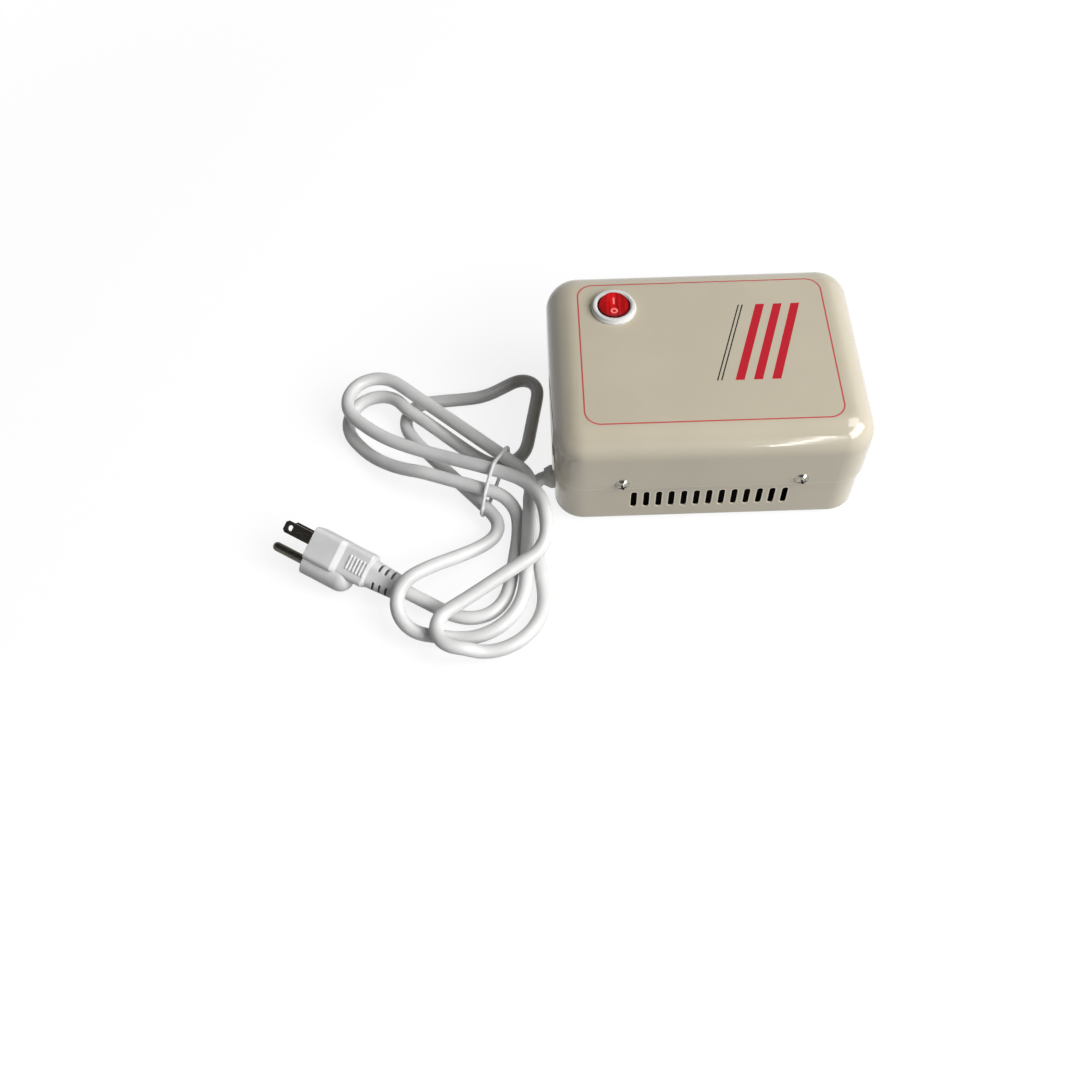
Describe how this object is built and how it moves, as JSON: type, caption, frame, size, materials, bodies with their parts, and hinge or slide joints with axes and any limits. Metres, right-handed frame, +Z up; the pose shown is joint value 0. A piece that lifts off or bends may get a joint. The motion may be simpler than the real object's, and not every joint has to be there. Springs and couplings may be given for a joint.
{
  "type": "travel voltage converter",
  "caption": "Step-up transformer in a rounded two-part steel case with vent slots, round rocker switch, side outlet, and a tied mains cord with moulded plug.",
  "frame": {"origin": "on the surface the case stands on, under the middle of the case", "axes": "+Z up, +X along the case away from the cord, -Y towards the front"},
  "size_m": [0.2998, 0.1993, 0.0706],
  "materials": {
    "cover_paint": "gloss",
    "tray_paint": "gloss",
    "plated_steel": "plated",
    "foot_rubber": "matt",
    "white_plastic": "gloss",
    "red_plastic": "clear red",
    "black_plastic": "moulded",
    "brass": "bright",
    "core_steel": "varnished",
    "coil_tape": "tape",
    "cord_sheath": "satin",
    "plug_plastic": "moulded"
  },
  "bodies": {
    "case": {"top_cover": "cover_paint", "base_tray": "tray_paint", "cover_screws": "plated_steel", "press_nuts": "plated_steel", "rubber_feet": "foot_rubber", "switch_body": "white_plastic", "switch_terminals": "brass", "core_laminations": "core_steel", "coil_bobbin": "black_plastic", "coil_winding": "coil_tape", "core_clamp": "plated_steel", "clamp_bolts": "plated_steel", "clamp_nuts": "plated_steel", "thermal_cutout": "black_plastic", "terminal_block": "white_plastic", "terminal_screws": "brass", "earth_stud": "plated_steel", "earth_lug": "brass", "earth_nut": "plated_steel", "outlet_body": "black_plastic", "outlet_contacts": "brass", "cord_gland": "plug_plastic", "gland_nut": "black_plastic", "cord_lead": "cord_sheath", "cord_hank": "cord_sheath", "cord_tail": "cord_sheath", "cord_tie": "white_plastic", "plug_body": "plug_plastic", "plug_blades": "plated_steel", "plug_ground_pin": "plated_steel"},
    "rocker": {"switch_rocker": "red_plastic"}
  },
  "joints": [
    {"name": "rocker_tilt", "type": "hinge", "parent": "case", "child": "rocker", "pos_m": [-0.0446, 0.0291, 0.0663], "axis": [-1, 0, 0], "range_deg": [0, 16]}
  ]
}
